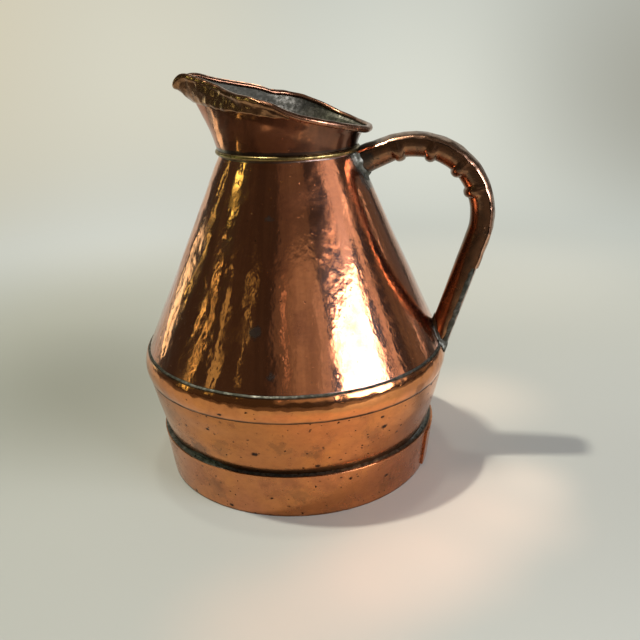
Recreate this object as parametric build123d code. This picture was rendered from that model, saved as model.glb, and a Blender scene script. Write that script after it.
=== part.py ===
from build123d import *
import math
import os

# Hand-made copper measuring jug: a conical body on a flared base, a brass-ringed neck
# with a drawn spout, and a hollow strap handle. Millimetres, +Z up. The origin is the
# centre of the foot on the floor, +X points to the handle and -X to the spout.

os.makedirs("parts", exist_ok=True)

# Stock
sheet = 1.2                  # copper sheet of body, neck and handle
foot_sheet = 1.6             # heavier strip round the foot
seat_gap = 0.12              # solder film between lapped pieces
far = 400.0                  # larger than the jug, for cutting blocks

# Foot band
foot_radius = 114.4          # outside, on the floor
foot_flare = 4.8             # how much wider its top edge is
foot_height = 38.7
body_lift = 2.0              # the body's lower edge stays clear of the floor
waist_gap = 3.0              # space between the band's top edge and the body
foot_solder_depth = 4.8      # solder in that space, below the band's top edge
foot_solder_rise = 1.6       # and up the body above it

# Lower body
body_rise = 50.6             # from the band's top edge up to the crease
body_flare = 13.0            # growth in radius over that rise
body_bow = 0.5               # bulge of its side from a straight line

# Shoulder roll, a part turn of a circle in section
roll_radius = 21.0
roll_start = -26.5           # degrees from horizontal, at the crease
roll_end = 30.0              # degrees from horizontal, at the cone's seam
lap_split = -4.0             # degrees, where the lower body's lap inside the roll ends
lap_break = 4.0              # degrees from there to the end of the cone's lap
joggle_turn = 1.2            # degrees over which the lower body steps in behind the roll

# Cone
cone_rise = 158.9            # from the shoulder seam to the neck
cone_top_radius = 54.6
cone_tuck = 2.0              # degrees that the foot of its side lies below the roll's edge
neck_flange = 7.0            # upright edge at the top of the cone

# Base
base_lift = 9.0              # underside of the base plate above the floor
base_flange = 6.0            # turned-down edge of the base plate
base_fillet = 2.4            # solder in the corner above it
fillet_hollow = 3.0          # a corner of solder is this many times thinner in its middle

# Neck, spout and rim
ring_wire = 1.75             # radius of the brass wire
neck_front = 1.0             # the collar stands this much further out at the spout
bend_back_rise = 11.7        # height of the bend above the collar's foot, at the back
bend_front_rise = 36.0       # the same at the spout
bend_back_out = 4.6          # growth in radius up to the bend, at the back
bend_front_out = 16.3        # the same at the spout
bend_nose = 13.0             # radius of the spout in plan at the bend
mouth_back_rise = 14.5       # height of the rim above the collar's foot, at the back
mouth_tip_rise = 49.7        # the same at the spout's tip
mouth_back_out = 8.1
mouth_tip_out = 36.6
mouth_side_out = 4.58        # growth in radius of the round part, up to the mouth
mouth_nose = 7.0             # radius of the tip in plan
rim_nose = 5.0               # radius of the rolled edge's line round the tip
rim_knee = 7.0               # radius of its bend behind the beak
mouth_lift = 3.7             # degrees that the sides of the spout rise above its tip
beak_length = 15.5           # the drooping end of the spout
bead_radius = 2.75           # rolled edge
rim_wire_radius = 1.5        # wire inside the rolled edge
wire_play = 0.05

# Strip soldered round the outside of the spout
lip_low_rise = 34.0          # its lower edge above the collar's foot, at the beak
lip_end_rise = 27.0          # the same at its ends
lip_end_x = 10.0             # how far back its ends reach

# Handle
handle_half_width = 12.25
handle_depth = 16.0          # of the rounded inner channel
handle_bend = 61.5           # radius of the seam line in the big bend
handle_top_slope = 18.0      # degrees that the top run rises from the neck
handle_leg_slope = 18.0      # degrees that the leg leans from upright
handle_drop = 0.9            # seam line below the top of the cone
handle_foot_out = 1.0        # seam line outside the shoulder seam
handle_foot_drop = 6.0       # end of the leg below the shoulder seam
back_rise = 2.4              # crown of the strap that closes the channel
overlay_end = 24.0           # length of the outer strap below the bend
ridge_radius = 2.3
ridge_sink = 0.6             # how far a ridge's centre lies inside the channel's face
ridge_angles = (102.5, 74.0, 45.0, 22.0)
seam_bead = 2.3              # solder along the leg's seams
solder_width = 2.2           # solder collar round the handle's ends
solder_height = 3.4

# Lap of the foot band
lap_start_angle = -7.7       # degrees round the foot from the handle
lap_angle = 33.7
lap_low = 2.5
lap_top_short = 3.5          # the lap plate stops short of the band's top edge
rivet_angles = (11.0, 21.5)
rivet_shank = 1.6
rivet_head = 3.0
rivet_crown = 1.6
rivet_tail = 0.9             # thickness of its flat head inside
rivet_drill = 10.0           # length of the drilled cut

# Heights and radii that follow from the sizes above
foot_top_radius = foot_radius + foot_flare
waist_radius = foot_top_radius - foot_sheet - waist_gap
crease_radius = waist_radius + body_flare
crease_height = foot_height + body_rise
roll_x = crease_radius - roll_radius * math.cos(math.radians(roll_start))
roll_z = crease_height - roll_radius * math.sin(math.radians(roll_start))
seam_radius = roll_x + roll_radius * math.cos(math.radians(roll_end))
seam_height = roll_z + roll_radius * math.sin(math.radians(roll_end))
lap_radius = roll_radius - sheet - seat_gap
cone_top_height = seam_height + cone_rise
ring_radius = cone_top_radius + seat_gap + ring_wire
ring_height = cone_top_height + ring_wire + seat_gap
ring_outer = ring_radius + ring_wire
collar_height = ring_height + ring_wire + seat_gap
collar_radius = cone_top_radius + seat_gap + sheet


def band_outside(height):
    """Outer radius of the foot band at a height."""
    return foot_radius + foot_flare * height / foot_height


def body_outside(height):
    """Outer radius of the lower body inside the foot band."""
    low = band_outside(body_lift) - foot_sheet - seat_gap
    share = (height - body_lift) / (foot_height - body_lift)
    return low + (waist_radius - low) * share


def polygon(*points):
    """A flat face with straight sides."""
    return make_face(Polyline(*points, close=True))


def bowed_strip(low, high, bow, thickness):
    """A wall in section: its outer side bows outwards, its thickness is level."""
    middle = ((low[0] + high[0]) / 2 + bow, (low[1] + high[1]) / 2)
    outer = ThreePointArc(low, middle, high)
    inner = ThreePointArc(
        (high[0] - thickness, high[1]),
        (middle[0] - thickness, middle[1]),
        (low[0] - thickness, low[1]),
    )
    return make_face([outer, Line(outer @ 1, inner @ 0), inner, Line(inner @ 1, outer @ 0)])


def roll_strip(outer_radius, start, end):
    """A curved strip of sheet that shares the shoulder roll's centre."""
    outer = CenterArc((roll_x, roll_z), outer_radius, start, end - start)
    inner = CenterArc((roll_x, roll_z), outer_radius - sheet, start, end - start)
    return make_face([outer, inner, Line(outer @ 0, inner @ 0), Line(outer @ 1, inner @ 1)])


def turned(profile, angle=360.0):
    """The solid that a section sweeps round the jug's axis."""
    return revolve(Plane.XZ * profile, Axis.Z, angle)


def roll_point(radius, angle):
    """A point of the section, round the shoulder roll's centre."""
    return (roll_x + radius * math.cos(math.radians(angle)), roll_z + radius * math.sin(math.radians(angle)))


def save(name, shape):
    """Write one named piece, and tell its size and volume."""
    whole = Compound(label=name, children=list(shape.solids()))
    export_step(whole, "parts/" + name + ".step")
    print(name, len(whole.solids()), round(whole.volume, 1))


# Sections of the turned pieces, radius across and height up

shoulder_section = roll_strip(roll_radius, roll_start, roll_end)
shoulder_room = offset(shoulder_section, amount=seat_gap)

foot_section = polygon(
    (foot_radius, 0),
    (foot_top_radius, foot_height),
    (foot_top_radius - foot_sheet, foot_height),
    (foot_radius - foot_sheet, 0),
)

lower_skirt = polygon(
    (body_outside(body_lift), body_lift),
    (waist_radius, foot_height),
    (waist_radius - sheet, foot_height),
    (body_outside(body_lift) - sheet, body_lift),
)
lower_flare = bowed_strip((waist_radius, foot_height), (crease_radius, crease_height), body_bow, sheet)
lower_lap = roll_strip(lap_radius, roll_start, lap_split)
lower_joggle = polygon(
    (crease_radius - sheet, crease_height - seat_gap),
    (crease_radius, crease_height - seat_gap),
    roll_point(lap_radius, roll_start),
    roll_point(lap_radius, roll_start + joggle_turn),
    roll_point(lap_radius - sheet, roll_start),
)
lower_section = (lower_skirt + lower_flare + lower_lap + lower_joggle) - shoulder_room

cone_foot = roll_point(lap_radius, roll_end - cone_tuck)
cone_top = (cone_top_radius, cone_top_height)
cone_lean = math.atan2(cone_foot[0] - cone_top[0], cone_top[1] - cone_foot[1])
cone_level_wall = sheet / math.cos(cone_lean)
cone_side = polygon(
    cone_foot,
    cone_top,
    (cone_top[0] - cone_level_wall, cone_top[1]),
    (cone_foot[0] - cone_level_wall, cone_foot[1]),
)
cone_lap = roll_strip(lap_radius, lap_split + lap_break, roll_end)
cone_neck = polygon(
    (cone_top_radius, cone_top_height - sheet),
    (cone_top_radius, cone_top_height + neck_flange),
    (cone_top_radius - sheet, cone_top_height + neck_flange),
    (cone_top_radius - sheet, cone_top_height - sheet),
)
cone_section = (cone_side + cone_lap + cone_neck) - shoulder_room

# What the handle and its solder have to stay clear of
cone_outline = polygon(cone_foot, cone_top, (0, cone_top_height), (0, cone_foot[1]))
roll_outline = Pos(roll_x, roll_z) * Circle(roll_radius)
ring_foot = cone_top_height - ring_wire
ring_outline = polygon((0, ring_foot), (ring_outer, ring_foot), (ring_outer, far), (0, far))
body_outline = cone_outline + roll_outline + ring_outline
right_half = Pos(far, 0) * Rectangle(2 * far, 4 * far)


def body_room(grow):
    """The filled body, grown on every side."""
    return turned(offset(body_outline, amount=grow) & right_half)


# Foot band, its lap and rivets

rivet_inside = band_outside(foot_height / 2) - foot_sheet
rivet_outside = rivet_inside + 2 * foot_sheet + seat_gap


def rivet_place(angle):
    """Turns a piece built about the jug's axis so that it points out through the band."""
    lean = math.degrees(math.atan2(foot_flare, foot_height))
    centre = (rivet_inside + rivet_outside) / 2
    return Rot(0, 0, angle) * Pos(centre, 0, foot_height / 2) * Rot(0, 90 + lean, 0) * Pos(0, 0, -centre)


def rivet(angle):
    """One copper rivet: shank, domed head outside, flat head inside."""
    low = rivet_inside - seat_gap
    high = rivet_outside + seat_gap
    crown_radius = (rivet_head ** 2 + rivet_crown ** 2) / (2 * rivet_crown)
    shank = polygon(
        (0, low - rivet_tail),
        (rivet_head, low - rivet_tail),
        (rivet_head, low),
        (rivet_shank, low),
        (rivet_shank, high),
        (0, high),
    )
    dome = Pos(0, high + rivet_crown - crown_radius) * Circle(crown_radius)
    dome = dome & Pos(rivet_head / 2, high + rivet_crown / 2) * Rectangle(rivet_head, rivet_crown)
    return rivet_place(angle) * revolve(Plane.XZ * (shank + dome), Axis.Z)


def rivet_hole(angle):
    """The hole that a rivet passes through."""
    middle = (rivet_inside + rivet_outside) / 2
    return rivet_place(angle) * Pos(0, 0, middle) * Cylinder(rivet_shank + seat_gap, rivet_drill)


foot_band = turned(foot_section)
lap_high = foot_height - lap_top_short
lap_low_radius = band_outside(lap_low) + seat_gap
lap_high_radius = band_outside(lap_high) + seat_gap
lap_section = polygon(
    (lap_low_radius, lap_low),
    (lap_high_radius, lap_high),
    (lap_high_radius + foot_sheet, lap_high),
    (lap_low_radius + foot_sheet, lap_low),
)
lap_plate = Rot(0, 0, lap_start_angle) * turned(lap_section, lap_angle)
rivets = [rivet(angle) for angle in rivet_angles]
for angle in rivet_angles:
    foot_band = foot_band - rivet_hole(angle)
    lap_plate = lap_plate - rivet_hole(angle)
save("foot_band", foot_band)
save("foot_lap_plate", lap_plate)
save("foot_rivets", Compound(children=rivets))

# Solder between the band's top edge and the body

wall_middle = waist_radius - sheet / 2
foot_solder_section = polygon(
    (wall_middle, foot_height - foot_solder_depth),
    (wall_middle, foot_height + foot_solder_rise),
    (waist_radius + sheet, foot_height + foot_solder_rise),
    (foot_top_radius - foot_sheet, foot_height - foot_sheet / 2),
    (foot_top_radius - foot_sheet, foot_height - foot_solder_depth),
)
foot_solder = turned(
    foot_solder_section
    - offset(lower_section, amount=seat_gap)
    - offset(foot_section, amount=seat_gap)
)
save("foot_solder", foot_solder)

# Body, shoulder and cone

save("lower_body", turned(lower_section))
save("shoulder_band", turned(shoulder_section))
save("cone_body", turned(cone_section))


def fillet_ring(corner, across, up):
    """Solder run round a corner of the section."""
    middle = (corner[0] + across / fillet_hollow, corner[1] + up / fillet_hollow)
    return turned(polygon(corner, (corner[0] + across, corner[1]), middle, (corner[0], corner[1] + up)))


# The cone's foot is soldered into the top edge of the shoulder band

seam_inner = roll_point(roll_radius - sheet, roll_end)
cone_at_seam = cone_foot[0] - (seam_inner[1] - cone_foot[1]) * math.tan(cone_lean)
shoulder_solder = turned(
    polygon(
        (cone_at_seam - sheet, seam_inner[1]),
        (seam_inner[0], seam_inner[1]),
        (seam_radius - seat_gap, seam_height + seat_gap),
        (cone_at_seam - sheet, seam_height + 2 * sheet),
    ) - offset(cone_section, amount=seat_gap) - shoulder_room
)
save("shoulder_solder", shoulder_solder)

# Base plate, set up inside the body with its edge turned down

base_radius = body_outside(base_lift) - sheet - seat_gap
base_edge_radius = body_outside(base_lift - base_flange) - sheet - seat_gap
base_plate = turned(polygon(
    (0, base_lift),
    (base_radius - sheet, base_lift),
    (base_edge_radius - sheet, base_lift - base_flange),
    (base_edge_radius, base_lift - base_flange),
    (base_radius, base_lift + sheet),
    (0, base_lift + sheet),
))
save("base_plate", base_plate)
base_solder = fillet_ring((base_radius, base_lift + sheet + seat_gap), -base_fillet, base_fillet)
save("base_solder", base_solder)

# Brass ring round the foot of the neck

neck_ring = Pos(0, 0, ring_height) * Torus(ring_radius, ring_wire)
save("neck_ring", neck_ring)

# Neck collar drawn out into the spout. Each level of it is a round back, two straight
# sides and a round nose, in a plane that rises towards the spout.

bend_back = (collar_radius + bend_back_out, collar_height + bend_back_rise)
bend_front = (-collar_radius - bend_front_out, collar_height + bend_front_rise)
mouth_back = (collar_radius + mouth_back_out, collar_height + mouth_back_rise)
mouth_tip = (-collar_radius - mouth_tip_out, collar_height + mouth_tip_rise)
mouth_side_radius = collar_radius + mouth_side_out


class Level:
    """One level of the neck: its plane, its outline and the places on it."""

    def __init__(self, back, front, side_radius, nose_radius, grow):
        length = math.dist(back, front)
        run = ((front[0] - back[0]) / length, (front[1] - back[1]) / length)
        nose_at = length - side_radius - nose_radius
        turn = math.acos((side_radius - nose_radius) / nose_at)
        side = side_radius + grow
        nose = nose_radius + grow
        self.plane = Plane(
            origin=(back[0] + run[0] * side_radius, 0, back[1] + run[1] * side_radius),
            x_dir=(run[0], 0, run[1]),
            z_dir=(run[1], 0, -run[0]),
        )
        self.side = side
        self.reach = nose_at + nose
        self.back_end = (side * math.cos(turn), side * math.sin(turn))
        self.nose_end = (nose_at + nose * math.cos(turn), nose * math.sin(turn))

    def face(self):
        """The level's flat face, in place."""
        back_x, back_y = self.back_end
        nose_x, nose_y = self.nose_end
        return self.plane * make_face([
            ThreePointArc((back_x, -back_y), (-self.side, 0), (back_x, back_y)),
            Line((back_x, back_y), (nose_x, nose_y)),
            ThreePointArc((nose_x, nose_y), (self.reach, 0), (nose_x, -nose_y)),
            Line((nose_x, -nose_y), (back_x, -back_y)),
        ])


def mouth_level(grow):
    """The level through the rim's back and the spout's tip."""
    return Level(mouth_back, mouth_tip, mouth_side_radius, mouth_nose, grow)


def neck_filled(grow):
    """The neck and spout as a filled body, grown sideways."""
    collar_front = (-collar_radius - neck_front, collar_height)
    foot = Level((collar_radius, collar_height), collar_front, collar_radius, collar_radius - 2 * neck_front, grow)
    bend = Level(bend_back, bend_front, collar_radius + bend_back_out - sheet, bend_nose, grow)
    lower = loft([foot.face(), bend.face()], ruled=True)
    upper = loft([bend.face(), mouth_level(grow).face()], ruled=True)
    return lower + upper + wedge(grow)


def wedge(grow):
    """The sides of the spout above the plane through its tip, highest behind the beak."""
    mouth = mouth_level(grow)
    tip = mouth.reach - grow
    corner = tip - beak_length
    start = -mouth_side_radius
    height = (corner - start) * math.tan(math.radians(mouth_lift))
    profile = polygon((start, -sheet), (start, 0), (corner, height), (tip, 0), (tip, -sheet))
    side_plane = Plane(origin=mouth.plane.origin, x_dir=mouth.plane.x_dir, z_dir=-mouth.plane.y_dir)
    prism = extrude(side_plane * profile, far, both=True)
    return extrude(mouth.face(), far) & prism


def rim_path(inset):
    """The rim's closed line, in the tilted mouth: round back, straight sides, drooping beak."""
    mouth = mouth_level(-inset)
    plane = mouth.plane
    back_x, back_y = mouth.back_end
    nose_x, nose_y = mouth.nose_end
    lift = math.radians(mouth_lift)
    corner = mouth.reach + inset - beak_length
    taper = (back_y - nose_y) / (nose_x - back_x)
    corner_half = back_y - taper * (corner - back_x)
    vertex = corner + corner_half / taper
    fall = (corner + mouth_side_radius) * math.tan(lift) / beak_length * (vertex - corner)
    start = plane.from_local_coords(Vector(-mouth.side, 0, 0))
    run = plane.x_dir * math.cos(lift) + plane.z_dir * math.sin(lift)
    tilted = Plane(origin=start + run * mouth.side, x_dir=run, z_dir=run.cross(plane.y_dir))
    stops = [(back_x, back_y, 0), (corner, corner_half, 0), (vertex, 0, -fall),
             (corner, -corner_half, 0), (back_x, -back_y, 0)]
    beak = FilletPolyline(
        *[tilted.from_local_coords(Vector(*stop)) for stop in stops],
        radius=[rim_knee, rim_nose, rim_knee],
    )
    back = ThreePointArc(beak @ 1, start, beak @ 0)
    return Wire(list(beak.edges()) + [back])


def rim_rod(radius):
    """A round bar along the rim."""
    return sweep(Plane(origin=rim_line @ 0, z_dir=rim_line % 0) * Circle(radius), path=rim_line)


rim_line = rim_path(sheet / 2)
collar = neck_filled(0) - neck_filled(-sheet)
neck_collar = (collar - rim_rod(bead_radius)) + (rim_rod(bead_radius) - rim_rod(rim_wire_radius + wire_play))
save("neck_collar", neck_collar)
save("rim_wire", rim_rod(rim_wire_radius))

# Stiffening strip round the outside of the spout, tapering out towards the back

lip_slope = (lip_low_rise - lip_end_rise) / (collar_radius + lip_end_x)
lip_end_height = collar_height + lip_end_rise
lip_line = polygon(
    (lip_end_x, lip_end_height),
    (-far, lip_end_height + lip_slope * (far + lip_end_x)),
    (-far, far),
    (lip_end_x, far),
)
lip_side = extrude(Plane.XZ * lip_line, far, both=True)
lip_band = (neck_filled(seat_gap + sheet) - neck_filled(seat_gap)) & lip_side
lip_band = lip_band - rim_rod(bead_radius + seat_gap)
save("lip_band", lip_band)

# Solder inside the neck, where the collar laps the cone's upright edge

neck_solder = turned(polygon(
    (cone_top_radius - sheet, cone_top_height + neck_flange + seat_gap),
    (cone_top_radius, cone_top_height + neck_flange + seat_gap),
    (cone_top_radius, cone_top_height + neck_flange + sheet),
))
save("neck_solder", neck_solder)

# Handle: a rounded channel inside, closed by a domed strap, with a second strap over the
# upper half. Its seam line is a top run, one big bend and a straight leg, in the XZ plane.

top_run = (math.cos(math.radians(handle_top_slope)), math.sin(math.radians(handle_top_slope)))
leg_run = (math.sin(math.radians(handle_leg_slope)), math.cos(math.radians(handle_leg_slope)))
handle_top = (cone_top_radius, cone_top_height - handle_drop)
handle_foot = (seam_radius + handle_foot_out, seam_height - handle_foot_drop)


def leg_point(distance):
    """A point of the seam line on the leg, at a distance above the handle's foot."""
    return (handle_foot[0] + leg_run[0] * distance, 0, handle_foot[1] + leg_run[1] * distance)


span = (handle_foot[0] - handle_top[0], handle_foot[1] - handle_top[1])
cross = top_run[0] * leg_run[1] - top_run[1] * leg_run[0]
leg_reach = (top_run[1] * span[0] - top_run[0] * span[1]) / cross
half_turn = math.radians(90 + handle_top_slope + handle_leg_slope) / 2
leg_length = leg_reach - handle_bend * math.tan(half_turn)
bend_x = leg_point(leg_length)[0] - handle_bend * leg_run[1]
bend_z = leg_point(leg_length)[2] + handle_bend * leg_run[0]


def handle_path(foot_distance):
    """The seam line from the neck down to a distance above the handle's foot."""
    start = (handle_top[0], 0, handle_top[1])
    return FilletPolyline(start, leg_point(leg_reach), leg_point(foot_distance), radius=handle_bend)


def along_handle(section, foot_distance):
    """Sweep a section down the handle. Its y points away from the hand side."""
    path = handle_path(foot_distance)
    plane = Plane(origin=path @ 0, x_dir=(0, 1, 0), z_dir=path % 0)
    return sweep(plane * section, path=Wire(path.edges()))


def channel_outline(half_width, depth):
    """A channel's filled section, open side at the seam line."""
    knee = half_width - depth
    return make_face([
        ThreePointArc((-half_width, knee), (0, -depth), (half_width, knee)),
        Polyline((half_width, knee), (half_width, 0), (-half_width, 0), (-half_width, knee)),
    ])


back_radius = (handle_half_width ** 2 + back_rise ** 2) / (2 * back_rise)
crown_window = Pos(0, seat_gap + handle_depth / 2) * Rectangle(2 * handle_half_width, handle_depth)


def crown_disc(radius):
    """A disc that shares the centre of the straps' crowned section."""
    return Pos(0, back_rise - back_radius) * Circle(radius)


def handle_outline(crown, grow):
    """The handle's filled section up to the given crown radius, grown on every side."""
    dome_window = Pos(0, handle_depth / 2 - sheet) * Rectangle(2 * handle_half_width, handle_depth + sheet)
    filled = channel_outline(handle_half_width, handle_depth) + (crown_disc(crown) & dome_window)
    return offset(filled, amount=grow)


def ridge(angle):
    """One ridge across the hand side of the channel, at an angle round the big bend."""
    across = math.cos(math.radians(angle))
    up = math.sin(math.radians(angle))
    place = Plane(
        origin=(bend_x + handle_bend * across, 0, bend_z + handle_bend * up),
        x_dir=(0, 1, 0),
        z_dir=(up, 0, -across),
    )
    knee = handle_half_width - handle_depth
    hoop = Pos(0, knee, 0) * Torus(handle_half_width - ridge_sink, ridge_radius)
    hoop = hoop & Pos(0, knee - handle_depth / 2, 0) * Box(far, handle_depth + 2 * ridge_radius, far)
    room = extrude(channel_outline(handle_half_width - sheet / 2, handle_depth - sheet / 2), far, both=True)
    return place * (hoop - room)


near_body = body_room(seat_gap)
channel_section = (channel_outline(handle_half_width, handle_depth)
                   - channel_outline(handle_half_width - sheet, handle_depth - sheet))
handle_channel = along_handle(channel_section, 0)
for angle in ridge_angles:
    handle_channel = handle_channel + ridge(angle)
handle_channel = handle_channel - near_body
save("handle_channel", handle_channel)

back_section = (crown_disc(back_radius) - crown_disc(back_radius - sheet)) & crown_window
handle_back = along_handle(back_section, 0) - near_body
save("handle_back", handle_back)

strap_inside = back_radius + seat_gap
strap_section = (crown_disc(strap_inside + sheet) - crown_disc(strap_inside)) & crown_window
strap_foot = leg_length - overlay_end
handle_strap = along_handle(strap_section, strap_foot) - near_body
save("handle_strap", handle_strap)

# Solder round the two ends of the handle and along the seams of its leg

collar_outside = handle_outline(strap_inside + sheet, solder_width)
collar_inside = handle_outline(strap_inside + sheet, seat_gap)
below_ring = Pos(0, 0, ring_height - ring_wire - seat_gap - far / 2) * Box(far, far, far)
end_solder = along_handle(collar_outside, 0) & body_room(solder_height) & below_ring
end_solder = end_solder - along_handle(collar_inside, 0) - near_body
ends = end_solder.solids().sort_by(Axis.Z)
save("handle_top_solder", ends[-1])
save("handle_foot_solder", ends[0])

seam_section = (Pos(handle_half_width, 0) * Circle(seam_bead)
                + Pos(-handle_half_width, 0) * Circle(seam_bead)
                - handle_outline(back_radius, seat_gap))
seam_plane = Plane(origin=leg_point(0), x_dir=(0, 1, 0), z_dir=(-leg_run[0], 0, -leg_run[1]))
seam_solder = extrude(seam_plane * seam_section, -(strap_foot - 2 * seat_gap))
seam_solder = seam_solder - body_room(solder_height + seat_gap)
save("handle_seam_solder", seam_solder)
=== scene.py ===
import math

import bmesh
import bpy
import numpy as np
from mathutils import Matrix, Vector, noise


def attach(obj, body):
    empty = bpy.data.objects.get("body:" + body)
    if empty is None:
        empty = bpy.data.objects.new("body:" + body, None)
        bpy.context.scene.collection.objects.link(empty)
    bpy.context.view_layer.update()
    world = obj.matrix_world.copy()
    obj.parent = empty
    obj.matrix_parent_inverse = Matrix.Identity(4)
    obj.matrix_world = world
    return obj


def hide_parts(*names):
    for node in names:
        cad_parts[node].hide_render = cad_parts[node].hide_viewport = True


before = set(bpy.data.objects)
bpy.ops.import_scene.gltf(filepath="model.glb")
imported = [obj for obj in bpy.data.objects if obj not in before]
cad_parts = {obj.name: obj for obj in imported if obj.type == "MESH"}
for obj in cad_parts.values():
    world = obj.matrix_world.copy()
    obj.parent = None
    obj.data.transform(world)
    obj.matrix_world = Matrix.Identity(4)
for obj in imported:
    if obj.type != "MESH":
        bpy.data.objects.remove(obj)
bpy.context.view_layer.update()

# Camera. It looks down at the jug from the front, a little from the handle's side, through a
# lens of middle length, and leans by a degree or two.
view_turn = math.radians(11)
view_yaw = math.radians(2.01)
view_pitch = math.radians(20.5)
view_roll = math.radians(1.67)
camera_spot = Vector((0.11851, -0.60969, 0.354))
level_right = Vector((math.cos(view_yaw), -math.sin(view_yaw), 0))
ahead = Vector((math.sin(view_yaw) * math.cos(view_pitch), math.cos(view_yaw) * math.cos(view_pitch),
                -math.sin(view_pitch)))
upright = level_right.cross(ahead)
side_axis = level_right * math.cos(view_roll) - upright * math.sin(view_roll)
up_axis = level_right * math.sin(view_roll) + upright * math.cos(view_roll)
camera_axes = Matrix((side_axis, up_axis, -ahead)).transposed()
camera_data = bpy.data.cameras.new("camera")
camera_data.sensor_width = 36
camera_data.lens = 42.75
camera_data.clip_start = 0.01
camera = bpy.data.objects.new("camera", camera_data)
camera.matrix_world = (Matrix.Translation(camera_spot)
                       @ Matrix.Rotation(view_turn, 4, "Z") @ camera_axes.to_4x4())
bpy.context.scene.collection.objects.link(camera)
bpy.context.scene.camera = camera
bpy.context.scene.view_settings.view_transform = "Standard"


# Floor. A pale sheet, narrow in front, that lies flat under the jug and curves up far behind
# it, on a dark table. Its colour drifts a little from place to place. Tints paint light and shade
# into it: a painted shadow of the jug at its left, painted lighter and darker patches over the
# sheet, and painted warm pools of light where the polished copper throws light on it.
def place(tree, kind, inputs=None, **settings):
    """Add one shader node, with values or links on its inputs, and return its outputs."""
    node = tree.nodes.new("ShaderNode" + kind)
    for key, value in settings.items():
        setattr(node, key, value)
    for key, value in (inputs or {}).items():
        if isinstance(value, bpy.types.NodeSocket):
            tree.links.new(value, node.inputs[key])
        else:
            node.inputs[key].default_value = value
    return node.outputs


def number(tree, operation, first, second=0):
    """One sum of two numbers."""
    return place(tree, "Math", {0: first, 1: second}, operation=operation)[0]


def vector(tree, operation, first, second=(0, 0, 0)):
    """One sum of two vectors, which is a number for a length or a distance."""
    outputs = place(tree, "VectorMath", {0: first, 1: second}, operation=operation)
    return outputs["Value" if operation in ("LENGTH", "DISTANCE") else "Vector"]


def ramp(tree, value, low, high, first=0, last=1, soft=True):
    """A number that goes from first to last while the value goes from low to high."""
    return place(tree, "MapRange", {
        "Value": value, "From Min": low, "From Max": high, "To Min": first, "To Max": last,
    }, interpolation_type="SMOOTHSTEP" if soft else "LINEAR")["Result"]


def blend(tree, share, first, second):
    """The colour between two colours, by a mask."""
    first, second = (colour if isinstance(colour, bpy.types.NodeSocket) else (*colour, 1)
                     for colour in (first, second))
    return place(tree, "Mix", {0: share, 6: first, 7: second}, data_type="RGBA")[2]


def new_material(name):
    """An empty material, its node tree and its surface shader."""
    material = bpy.data.materials.new(name)
    material.use_nodes = True
    return material, material.node_tree, material.node_tree.nodes["Principled BSDF"]


def stage(name, points, faces, material, turned=0):
    """A still sheet that isn't part of the jug, turned about the upright axis."""
    mesh = bpy.data.meshes.new(name)
    mesh.from_pydata(points, [], faces)
    mesh.shade_smooth()
    mesh.materials.append(material)
    sheet = bpy.data.objects.new(name, mesh)
    sheet.rotation_euler.z = turned
    bpy.context.scene.collection.objects.link(sheet)


floor_half = 1.05
backdrop_start = 0.8
backdrop_radius = 0.5
backdrop_top = 1.5
rows = [(-0.42, 0, 0.48), (0.1, 0, 0.75), (backdrop_start, 0, floor_half)]
for step in range(1, 13):
    angle = math.radians(90 * step / 12)
    rows.append((backdrop_start + backdrop_radius * math.sin(angle),
                 backdrop_radius * (1 - math.cos(angle)), floor_half))
rows.append((backdrop_start + backdrop_radius, backdrop_top, floor_half))
floor_points = [(side * half, y, z) for y, z, half in rows for side in (-1, 1)]
floor_faces = [(2 * i, 2 * i + 1, 2 * i + 3, 2 * i + 2) for i in range(len(rows) - 1)]
paper, tree, shader = new_material("floor_paper")
spot = place(tree, "TexCoord")["Object"]
paper_drift = place(tree, "TexNoise", {"Vector": spot, "Scale": 1.6, "Detail": 2})["Fac"]
paper_colour = blend(tree, paper_drift, (0.56, 0.58, 0.525), (0.49, 0.51, 0.46))
# Painted light and shade: a painted shadow of the jug at its left, painted lighter and darker patches, and
# painted warm pools of light in front of the jug and beside it.
painted_paper_light = (
    ((-0.75, 1.25, 0.45), 1, (0.67, 0.61, 0.46)), ((-0.3, 1.2, 0.3), 0.5, (0.69, 0.67, 0.555)),
    ((0.28, 1.15, 0.18), 0.62, (0.72, 0.73, 0.645)), ((0.96, 1.15, 0.25), 0.6, (0.36, 0.355, 0.3)),
    ((0.36, 0.5, 0), 0.42, (0.7, 0.71, 0.635)), ((-0.32, 0.45, 0), 0.3, (0.51, 0.525, 0.465)),
    ((-0.28, 0.76, 0), 0.5, (0.67, 0.68, 0.61)), ((0.16, 0.55, 0), 0.35, (0.7, 0.71, 0.64)),
    ((-0.25, 0.14, 0), 0.26, (0.38, 0.395, 0.345)), ((0.36, -0.17, 0), 0.34, (0.42, 0.435, 0.395)),
    ((-0.02, -0.235, 0), 0.1, (0.68, 0.6, 0.51)), ((0.045, -0.195, 0), 0.085, (0.76, 0.64, 0.54)),
    ((0.095, -0.168, 0), 0.085, (0.78, 0.665, 0.56)), ((0.15, -0.12, 0), 0.085, (0.75, 0.66, 0.56)),
    ((0.185, -0.08, 0), 0.06, (0.7, 0.65, 0.56)), ((0.18, 0.08, 0), 0.1, (0.7, 0.665, 0.575)))
for middle, reach, tint in painted_paper_light:
    near = ramp(tree, vector(tree, "DISTANCE", spot, middle), reach, 0, last=0.9)
    paper_colour = blend(tree, near, paper_colour, tint)
tree.links.new(paper_colour, shader.inputs["Base Color"])
shader.inputs["Roughness"].default_value = 0.55
shader.inputs["Specular IOR Level"].default_value = 0.25
rays = place(tree, "LightPath")
seen = number(tree, "MAXIMUM", rays["Is Camera Ray"], rays["Is Transmission Ray"])
seen = number(tree, "MAXIMUM", seen, rays["Is Glossy Ray"])
glow_share = number(tree, "MULTIPLY", seen, ramp(tree, vector(tree, "LENGTH", spot), 0.4, 1))
glow = place(tree, "Emission", {"Color": paper_colour, "Strength": 1})[0]
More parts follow.
